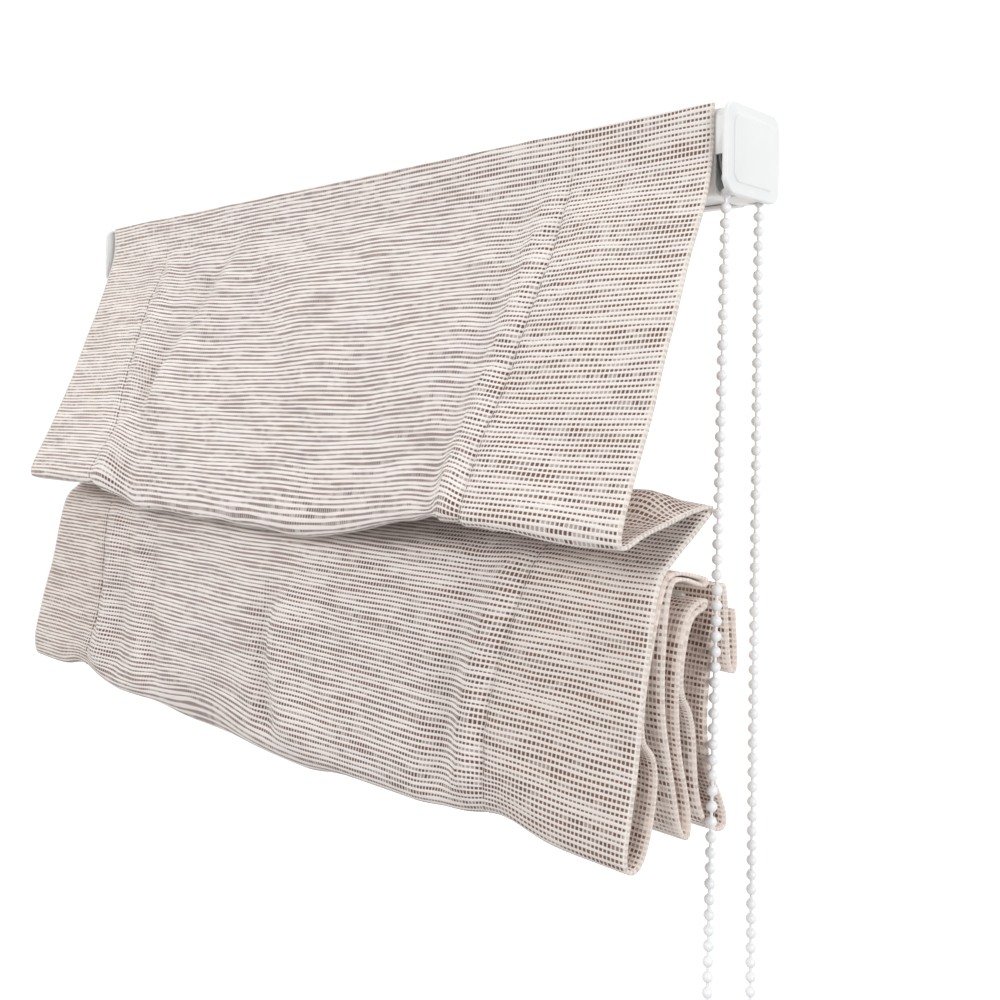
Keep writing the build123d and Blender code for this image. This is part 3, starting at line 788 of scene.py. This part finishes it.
def stitch_tree():
    """Small stitches at even spacing along every line."""
    inputs = [
        ("Spacing", "NodeSocketFloat"),
        ("Length", "NodeSocketFloat"),
        ("Thread", "NodeSocketFloat"),
        ("Finish", "NodeSocketMaterial"),
    ]
    tree = tree_with_inputs("stitches", inputs)
    start = tree.nodes.new("NodeGroupInput")
    geometry, spacing, length, thread, finish = (start.outputs[index] for index in range(5))
    line = add_node(tree, "GeometryNodeMeshToCurve", None, {"Mesh": geometry})
    values = {"Curve": line.outputs[0], "Length": spacing}
    spots = add_node(tree, "GeometryNodeCurveToPoints", {"mode": "LENGTH"}, values)
    values = {"Segments": 6, "Rings": 5, "Radius": 0.5}
    ball = add_node(tree, "GeometryNodeMeshUVSphere", None, values)
    size = add_node(tree, "ShaderNodeCombineXYZ", None, {0: thread, 1: thread, 2: length})
    soft = add_node(tree, "GeometryNodeSetShadeSmooth", None, {"Geometry": ball.outputs[0]})
    values = {
        "Points": spots.outputs["Points"],
        "Instance": soft.outputs[0],
        "Rotation": spots.outputs["Rotation"],
        "Scale": size.outputs[0],
    }
    stitches = add_node(tree, "GeometryNodeInstanceOnPoints", None, values)
    return finish_tree(tree, stitches.outputs[0], finish)


class BLIND_OT_cloth(bpy.types.Operator):
    """Makes the cloth: the loose first pleat, the long second one and the folds behind"""

    bl_idname = "blind.cloth"
    bl_label = "Cloth"

    def execute(self, context):
        settings = context.scene.blind_cloth
        width = settings.width / MM
        points, along, xs = cloth_grid(width)
        verts, faces, uvs, front, back = cloth_mesh(points, along, xs, settings.thickness, settings.hem)
        piece = mesh_piece("cloth", verts, faces, linen_weave("linen_weave", settings))
        reverse = piece.data.attributes.new("reverse", "FLOAT", "POINT")
        reverse.data.foreach_set("value", [float(index >= back) for index in range(len(verts))])
        layer = piece.data.uv_layers.new(name="cloth")
        layer.data.foreach_set("uv", [part for pair in uvs for part in pair])
        shell = bmesh.new()
        shell.from_mesh(piece.data)
        bmesh.ops.recalc_face_normals(shell, faces=shell.faces)
        shell.to_mesh(piece.data)
        shell.free()
        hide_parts("upper_cloth", "folded_cloth")
        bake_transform(piece)
        self.stitches(front, along, xs, settings)
        return {"FINISHED"}

    def stitches(self, front, along, xs, settings):
        """Rows of thread along the side hems, a little way in from their inner edges."""
        verts, edges = [], []
        for side in (-1, 1):
            wanted = side * (xs[-1] - settings.hem)
            column = min(range(len(xs)), key=lambda index: abs(xs[index] - wanted))
            beside = column + (1 if wanted > xs[column] else -1)
            share = (wanted - xs[column]) / (xs[beside] - xs[column])
            first = len(verts)
            for row in range(2, len(along) - 1):
                verts.append(front[row, column] * (1 - share) + front[row, beside] * share)
            edges.extend((index, index + 1) for index in range(first, len(verts) - 1))
        mesh = bpy.data.meshes.new("hem_stitches")
        mesh.from_pydata([tuple(v) for v in verts], edges, [])
        piece = bpy.data.objects.new("hem_stitches", mesh)
        bpy.context.scene.collection.objects.link(piece)
        thread = braided("hem_thread", (0.22, 0.15, 0.125), 0.6)
        values = {
            "Spacing": STITCH_SPACING,
            "Length": STITCH_LENGTH,
            "Thread": STITCH_THREAD,
            "Finish": thread,
        }
        piece = run_tree(piece, stitch_tree(), values)
        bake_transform(piece)
        return piece


# Loop of the chain in mm (y, z): over the wheel, down the front, under and up the back
CHAIN = [
    (0.0, -6.6),
    (-3.33, -6.59),
    (-9.09, -9.91),
    (-12.41, -15.67),
    (-13.1, -48.7),
    (-21.6, -411.0),
    (-22.34, -444.8),
    (-17.68, -452.87),
    (-9.62, -457.52),
    (-0.31, -457.52),
    (7.76, -452.87),
    (12.41, -444.8),
    (12.41, -411.0),
    (12.41, -48.7),
    (12.41, -15.67),
    (9.09, -9.91),
    (5.8, -8.0),
]


def line_points(name, points):
    """Points along the smooth line through a route, as a plain curve gives them."""
    route = curve_object(name, points)
    mesh = bpy.data.meshes.new_from_object(route)
    found = [vertex.co.copy() for vertex in mesh.vertices]
    bpy.data.meshes.remove(mesh)
    bpy.data.objects.remove(route)
    return found


def curve_object(name, points):
    """Smooth curve that runs close by the points, from the first to the last."""
    curve = bpy.data.curves.new(name, "CURVE")
    curve.dimensions = "3D"
    curve.resolution_u = 24
    spline = curve.splines.new("NURBS")
    spline.points.add(len(points) - 1)
    for point, place in zip(spline.points, points):
        point.co = (*place, 1.0)
    spline.order_u = 3
    spline.use_endpoint_u = True
    piece = bpy.data.objects.new(name, curve)
    bpy.context.scene.collection.objects.link(piece)
    return piece


def tree_with_inputs(name, inputs):
    """Empty geometry tree with a geometry socket at each end and named inputs."""
    tree = bpy.data.node_groups.new(name, "GeometryNodeTree")
    tree.interface.new_socket("Geometry", in_out="INPUT", socket_type="NodeSocketGeometry")
    for label, kind in inputs:
        tree.interface.new_socket(label, in_out="INPUT", socket_type=kind)
    tree.interface.new_socket("Geometry", in_out="OUTPUT", socket_type="NodeSocketGeometry")
    return tree


def add_node(tree, kind, settings=None, values=None):
    """Adds a node with its settings, then sets or links its sockets."""
    made = tree.nodes.new(kind)
    for name, setting in (settings or {}).items():
        setattr(made, name, setting)
    for key, value in (values or {}).items():
        if isinstance(value, bpy.types.NodeSocket):
            tree.links.new(value, made.inputs[key])
        else:
            made.inputs[key].default_value = value
    return made


def run_tree(piece, tree, values):
    """Puts the tree on the piece with its inputs set, and keeps the plain result."""
    modifier = piece.modifiers.new("make", "NODES")
    modifier.node_group = tree
    for item in tree.interface.items_tree:
        if item.in_out == "INPUT" and item.name in values:
            modifier[item.identifier] = values[item.name]
    piece.update_tag()
    return plain(piece)


def round_skin(tree, curve, radius, corners):
    """Round skin along a curve, with its ends closed."""
    values = {"Resolution": corners, "Radius": radius}
    section = add_node(tree, "GeometryNodeCurvePrimitiveCircle", None, values)
    values = {"Curve": curve, "Profile Curve": section.outputs["Curve"], "Fill Caps": True}
    return add_node(tree, "GeometryNodeCurveToMesh", None, values)


def bead_line_tree():
    """Beads at even spacing along a curve, on a thin link."""
    inputs = [
        ("Count", "NodeSocketInt"),
        ("Bead", "NodeSocketFloat"),
        ("Link", "NodeSocketFloat"),
        ("Finish", "NodeSocketMaterial"),
    ]
    tree = tree_with_inputs("bead_line", inputs)
    start = tree.nodes.new("NodeGroupInput")
    geometry, count, bead, link, finish = (start.outputs[index] for index in range(5))
    along = {"Curve": geometry, "Count": count}
    spots = add_node(tree, "GeometryNodeCurveToPoints", {"mode": "COUNT"}, along)
    radius = add_node(tree, "ShaderNodeMath", {"operation": "MULTIPLY"}, {0: bead, 1: 0.5})
    values = {"Segments": 10, "Rings": 7, "Radius": radius.outputs[0]}
    ball = add_node(tree, "GeometryNodeMeshUVSphere", None, values)
    soft = add_node(tree, "GeometryNodeSetShadeSmooth", None, {"Geometry": ball.outputs[0]})
    values = {
        "Points": spots.outputs["Points"],
        "Instance": soft.outputs[0],
        "Rotation": spots.outputs["Rotation"],
    }
    beads = add_node(tree, "GeometryNodeInstanceOnPoints", None, values)
    half = add_node(tree, "ShaderNodeMath", {"operation": "MULTIPLY"}, {0: link, 1: 0.5})
    even = add_node(tree, "GeometryNodeResampleCurve", None, along)
    string = round_skin(tree, even.outputs[0], half.outputs[0], 6)
    both = tree.nodes.new("GeometryNodeJoinGeometry")
    tree.links.new(beads.outputs[0], both.inputs[0])
    tree.links.new(string.outputs[0], both.inputs[0])
    return finish_tree(tree, both.outputs[0], finish)


class BLIND_OT_chain(bpy.types.Operator):
    """Makes the endless bead chain over its wheel"""

    bl_idname = "blind.chain"
    bl_label = "Bead chain"

    def execute(self, context):
        settings = context.scene.blind_cords
        strand_x = sum(corner.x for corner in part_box("bead_chain")) / 2
        route = [(strand_x, y * MM, z * MM) for y, z in CHAIN]
        path = line_points("chain_route", route)
        finish = moulded("chain_beads", (0.95, 0.95, 0.95), 0.3)
        values = {
            "Count": settings.count,
            "Bead": settings.bead,
            "Link": settings.link,
            "Finish": finish,
        }
        piece = run_tree(curve_object("chain", route), bead_line_tree(), values)
        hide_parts("bead_chain")
        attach(piece, RAIL)
        return {"FINISHED"}


def cord_skin_tree():
    """A lift cord's skin along a curve."""
    inputs = [("Radius", "NodeSocketFloat"), ("Finish", "NodeSocketMaterial")]
    tree = tree_with_inputs("cord_skin", inputs)
    start = tree.nodes.new("NodeGroupInput")
    geometry, radius, finish = (start.outputs[index] for index in range(3))
    skin = round_skin(tree, geometry, radius, 12)
    return finish_tree(tree, skin.outputs[0], finish)


class BLIND_OT_lift_cords(bpy.types.Operator):
    """Makes the two braided lift cords behind the cloth"""

    bl_idname = "blind.lift_cords"
    bl_label = "Lift cords"

    def execute(self, context):
        thickness = context.scene.blind_cords.lift_cord
        finish = braided("lift_cord_braid", (0.86, 0.86, 0.83), 1.4)
        tree = cord_skin_tree()
        for side in ("left", "right"):
            node = side + "_lift_cord"
            low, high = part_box(node)
            x, y = (low.x + high.x) / 2, (low.y + high.y) / 2
            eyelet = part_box(side + "_drum_cradle")[0].z
            middle = (eyelet + low.z) / 2
            route = [(x, y, high.z), (x, y, eyelet), (x, y, middle), (x, y, low.z)]
            path = line_points(node + "_route", route)
            values = {"Radius": thickness / 2, "Finish": finish}
            piece = run_tree(curve_object(side + "_cord", route), tree, values)
            for polygon in piece.data.polygons:
                polygon.use_smooth = True
            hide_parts(node)
            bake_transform(piece)
        return {"FINISHED"}


class BLIND_OT_mouldings(bpy.types.Operator):
    """Makes the end caps, the drive housing and the headrail's finish"""

    bl_idname = "blind.mouldings"
    bl_label = "Mouldings"

    def execute(self, context):
        white = moulded("white_moulding", (0.875, 0.875, 0.87), 0.34)
        for node, name in (
            ("right_end_cap", "chain_end_cap"),
            ("left_end_cap", "plain_end_cap"),
            ("drive_housing", "wheel_housing"),
        ):
            piece = softened_copy(node, name, white)
            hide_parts(node)
            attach(piece, RAIL)
        rail = softened_copy("headrail", "rail", coated_rail("white_rail"), 0.0002)
        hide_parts("headrail")
        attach(rail, RAIL)
        return {"FINISHED"}


class BLIND_OT_inside(bpy.types.Operator):
    """Gives the parts inside the rail and behind the cloth their finishes"""

    bl_idname = "blind.inside"
    bl_label = "Inner parts"

    def execute(self, context):
        inner = moulded("inner_moulding", (0.8, 0.8, 0.79), 0.5)
        steel = brushed("zinc_steel", (0.62, 0.63, 0.65), 0.36, 0.05)
        bar = brushed("bar_aluminium", (0.72, 0.72, 0.73), 0.42, 0.02)
        cord = braided("wound_cord_braid", (0.86, 0.86, 0.83), 1.4)
        tape = woven_band("rod_tape", (0.83, 0.81, 0.78), 0.7)
        finishes = {
            "chain_wheel": inner,
            "drive_hub": inner,
            "end_bush": inner,
            "clutch_spring": steel,
            "shaft": steel,
            "bottom_bar": bar,
            "hook_tape": loop_band("hook_side", (0.84, 0.84, 0.82), 1.5),
            "loop_tape": loop_band("loop_side", (0.86, 0.86, 0.85), 0.9),
        }
        for side in ("left", "right"):
            finishes[side + "_cord_drum"] = inner
            finishes[side + "_drum_cradle"] = inner
            finishes[side + "_cord_stop"] = inner
            finishes[side + "_bracket"] = steel
            finishes[side + "_cord_turns"] = cord
        rod = glass_rod("glass_fibre")
        ring = clear_ring("ring_plastic")
        for number in range(1, 5):
            finishes[f"rod_{number}"] = rod
            finishes[f"rod_pocket_{number}"] = tape
            finishes[f"cord_rings_{number}"] = ring
        for node, material in finishes.items():
            nodes[node].material_slots[0].link = "OBJECT"
            nodes[node].material_slots[0].material = material
        return {"FINISHED"}


# The backdrop is a bowl: radius of its flat floor, radius of its round corner, height of its wall
FLOOR_RADIUS = 1.6
CORNER_RADIUS = 1.2
WALL_HEIGHT = 4.0
CORNER_STEPS = 12
BOWL_SIDES = 64

# The camera: place in metres, heading and roll in degrees, focal length as a share of the sensor's
# width, and how far the picture is shifted down
CAMERA_PLACE = (0.4734, -0.3844, -0.120)
CAMERA_HEADING = 43.3
CAMERA_ROLL = 0.645
SENSOR_WIDTH = 36.0
LENS_SHARE = 1.087
CAMERA_SHIFT = -0.095


def area_lamp(name, place, target, size, power, colour=(1.0, 1.0, 1.0)):
    """Round area lamp that faces the target."""
    lamp = bpy.data.lights.new(name, "AREA")
    lamp.shape = "DISK"
    lamp.size = size
    lamp.energy = power
    lamp.color = colour
    holder = bpy.data.objects.new(name, lamp)
    holder.location = place
    holder.rotation_euler = (Vector(target) - Vector(place)).to_track_quat("-Z", "Y").to_euler()
    bpy.context.scene.collection.objects.link(holder)
    return holder


class BLIND_OT_stage(bpy.types.Operator):
    """Makes the pale floor, which glows with painted light, the soft light and the camera"""

    bl_idname = "blind.stage"
    bl_label = "Stage and camera"

    def execute(self, context):
        settings = context.scene.blind_stage
        floor_z = -settings.floor_drop
        profile = [(FLOOR_RADIUS, 0.0)]
        for step in range(1, CORNER_STEPS + 1):
            angle = radians(90 * step / CORNER_STEPS)
            rise = CORNER_RADIUS * (1 - cos(angle))
            profile.append((FLOOR_RADIUS + CORNER_RADIUS * sin(angle), rise))
        profile.append((FLOOR_RADIUS + CORNER_RADIUS, WALL_HEIGHT))
        verts = [(0.0, 0.0, floor_z)]
        faces = []
        for radius, height in profile:
            for turn in range(BOWL_SIDES):
                angle = 2 * pi * turn / BOWL_SIDES
                verts.append((radius * cos(angle), radius * sin(angle), floor_z + height))
        for turn in range(BOWL_SIDES):
            after = (turn + 1) % BOWL_SIDES
            faces.append((0, 1 + turn, 1 + after))
            for level in range(len(profile) - 1):
                low = 1 + level * BOWL_SIDES
                high = low + BOWL_SIDES
                faces.append((low + turn, high + turn, high + after, low + after))
        glowing_backdrop = Finish("glowing_backdrop", (0.32, 0.32, 0.32), 0.9)
        glowing_backdrop.shader.inputs["Specular IOR Level"].default_value = 0.0
        x, y, _ = glowing_backdrop.split(glowing_backdrop.place())
        # Painted light: the backdrop glows as no lamp would, brighter on the side behind the blind as
        # the camera sees it, and lights the scene all round
        glow = (y * 0.728 - x * 0.686).ramp(-0.4, 1.0) * 0.7 + 0.2
        glowing_backdrop.feed("Emission Color", glowing_backdrop.join(glow, glow, glow))
        glowing_backdrop.shader.inputs["Emission Strength"].default_value = 1.0
        glowing_backdrop.material.cycles.emission_sampling = "NONE"
        mesh_piece("backdrop", verts, faces, glowing_backdrop.material)
        area_lamp("key", (-0.5, -1.5, 0.55), (0.05, 0, -0.15), 0.9, settings.key_power)
        cool = (0.96, 0.98, 1.0)
        area_lamp("side", (1.6, -0.35, 0.1), (0.2, 0, -0.15), 0.8, settings.fill_power, cool)
        area_lamp("over", (0.2, 0.2, 1.5), (0.1, 0, -0.15), 1.2, settings.fill_power * 0.65)
        world = bpy.data.worlds.new("studio")
        world.use_nodes = True
        sky = world.node_tree.nodes["Background"]
        sky.inputs["Color"].default_value = (1.0, 1.0, 1.0, 1.0)
        sky.inputs["Strength"].default_value = settings.sky
        context.scene.world = world
        context.scene.view_settings.view_transform = "Standard"
        camera = bpy.data.cameras.new("camera")
        camera.sensor_width = SENSOR_WIDTH
        camera.sensor_fit = "HORIZONTAL"
        camera.lens = SENSOR_WIDTH * LENS_SHARE
        camera.shift_y = CAMERA_SHIFT
        camera.clip_start = 0.01
        holder = bpy.data.objects.new("camera", camera)
        facing = Euler((radians(90), 0, radians(CAMERA_HEADING)), "XYZ").to_matrix().to_4x4()
        roll = Matrix.Rotation(radians(CAMERA_ROLL), 4, "Z")
        holder.matrix_world = Matrix.Translation(CAMERA_PLACE) @ facing @ roll
        context.scene.collection.objects.link(holder)
        context.scene.camera = holder
        return {"FINISHED"}


class BLIND_PT_panel(bpy.types.Panel):
    bl_label = "Roman Blind"
    bl_idname = "BLIND_PT_panel"
    bl_space_type = "VIEW_3D"
    bl_region_type = "UI"
    bl_category = "Roman Blind"

    def draw(self, context):
        for step in STEPS:
            self.layout.operator(step.bl_idname)
        for group in (context.scene.blind_cords, context.scene.blind_cloth, context.scene.blind_stage):
            column = self.layout.column()
            for name in group.__annotations__:
                column.prop(group, name)


STEPS = (
    BLIND_OT_stage,
    BLIND_OT_chain,
    BLIND_OT_lift_cords,
    BLIND_OT_cloth,
    BLIND_OT_mouldings,
    BLIND_OT_inside,
)
CLASSES = (CordSettings, ClothSettings, StageSettings, *STEPS, BLIND_PT_panel)


def register():
    for item in CLASSES:
        bpy.utils.register_class(item)
    bpy.types.Scene.blind_cords = bpy.props.PointerProperty(type=CordSettings)
    bpy.types.Scene.blind_cloth = bpy.props.PointerProperty(type=ClothSettings)
    bpy.types.Scene.blind_stage = bpy.props.PointerProperty(type=StageSettings)


def unregister():
    del bpy.types.Scene.blind_cords
    del bpy.types.Scene.blind_cloth
    del bpy.types.Scene.blind_stage
    for item in reversed(CLASSES):
        bpy.utils.unregister_class(item)


def main():
    register()
    bpy.ops.blind.stage()
    bpy.ops.blind.chain()
    bpy.ops.blind.lift_cords()
    bpy.ops.blind.cloth()
    bpy.ops.blind.mouldings()
    bpy.ops.blind.inside()


if __name__ == "__main__":
    main()
